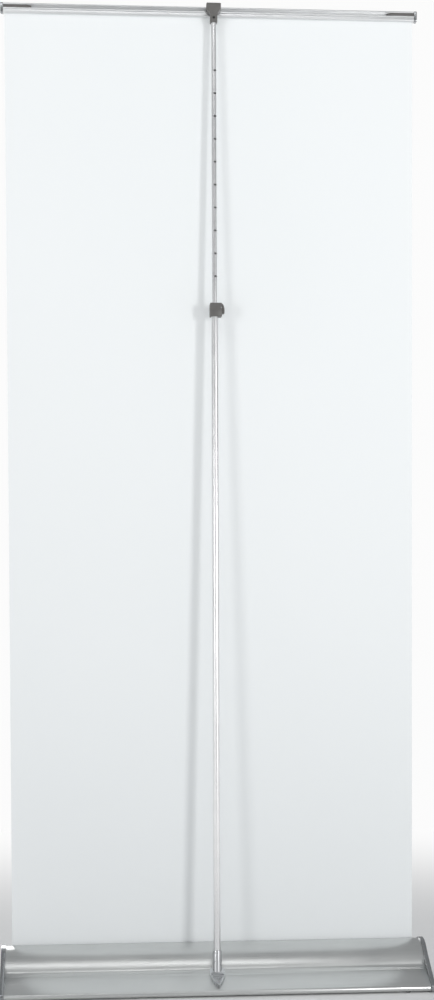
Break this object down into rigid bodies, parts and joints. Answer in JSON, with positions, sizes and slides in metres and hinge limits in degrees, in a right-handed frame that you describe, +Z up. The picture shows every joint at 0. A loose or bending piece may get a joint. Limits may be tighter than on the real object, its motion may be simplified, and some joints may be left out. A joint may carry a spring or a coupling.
{
  "type": "roll-up banner stand",
  "caption": "Roll-up banner stand: a low humped base with a spring roller, a tall banner sheet, a top rail and a leaning telescopic pole that hooks the rail from behind.",
  "frame": {"origin": "on the floor, under the middle of the base", "axes": "+Z up, +X to the right as seen from the printed face, the banner faces -Y and the pole stands behind it at +Y"},
  "size_m": [0.96, 0.227, 2.1966],
  "materials": {
    "casing_aluminium": "satin anodised extrusion",
    "rail_aluminium": "satin anodised extrusion",
    "pole_aluminium": "bright anodised tube",
    "chrome_trim": "chrome-plated moulding",
    "silver_casting": "bright silver casting",
    "zinc_steel": "zinc-plated steel",
    "blackened_steel": "black oxide steel",
    "end_plate_plastic": "moulded",
    "dark_grey_plastic": "fine-grained moulding",
    "black_plastic": "moulded",
    "white_plastic": "moulded acetal",
    "foot_rubber": "moulded rubber",
    "banner_film": "matt white banner film",
    "leader_film": "semi-matt film"
  },
  "bodies": {
    "base": {"cassette_shell": "casing_aluminium", "end_plate_left": "end_plate_plastic", "end_plate_right": "end_plate_plastic", "end_cap_left": "chrome_trim", "end_cap_right": "chrome_trim", "end_screw_left_1": "zinc_steel", "end_screw_left_2": "zinc_steel", "end_screw_left_3": "zinc_steel", "end_screw_right_1": "zinc_steel", "end_screw_right_2": "zinc_steel", "end_screw_right_3": "zinc_steel", "foot_front_left": "foot_rubber", "foot_front_right": "foot_rubber", "foot_rear_left": "foot_rubber", "foot_rear_right": "foot_rubber", "spring_spindle": "zinc_steel", "roller_spring": "zinc_steel", "roller_bush": "white_plastic", "leader_strip": "leader_film", "banner": "banner_film", "pole_socket": "silver_casting", "socket_screw_left": "zinc_steel", "socket_screw_right": "zinc_steel", "pole_foot_plug": "black_plastic", "pole_lower_tube": "pole_aluminium", "pole_spigot": "zinc_steel", "pole_middle_tube": "pole_aluminium", "collar_body": "dark_grey_plastic", "latch_pin": "zinc_steel"},
    "roller": {"roller_tube": "casing_aluminium", "leader_turns": "leader_film", "roller_plug_left": "black_plastic", "roller_plug_right": "black_plastic", "spring_anchor": "black_plastic"},
    "rail": {"top_rail": "rail_aluminium", "rail_clamp_strip": "rail_aluminium", "rail_cap_left": "chrome_trim", "rail_cap_right": "chrome_trim", "rail_tongue_left": "dark_grey_plastic", "rail_tongue_right": "dark_grey_plastic"},
    "latch": {"latch_lever": "dark_grey_plastic"},
    "pole_upper": {"pole_upper_tube": "pole_aluminium", "pole_guide": "white_plastic", "hook_body": "dark_grey_plastic", "hook_rivet": "blackened_steel"}
  },
  "joints": [
    {"name": "rail_travel", "type": "slide", "parent": "base", "child": "rail", "axis": [0, 0, 1], "range_m": [-2.077, 0], "deforming": ["banner"]},
    {"name": "roller_spin", "type": "hinge", "parent": "base", "child": "roller", "pos_m": [0, -0.0295, 0.046], "axis": [1, 0, 0], "continuous": true},
    {"name": "telescope", "type": "slide", "parent": "base", "child": "pole_upper", "axis": [-0.0028, -0.0341, 0.9994], "range_m": [-0.5367, 0]},
    {"name": "latch_engage", "type": "hinge", "parent": "base", "child": "latch", "pos_m": [-0.01863, -0.00127, 1.51927], "axis": [0, -0.9994, -0.0341], "range_deg": [0, 9]}
  ],
  "couplings": [
    {"joint": "roller_spin", "follows": "rail_travel", "rad_per_m": -64.516}
  ]
}
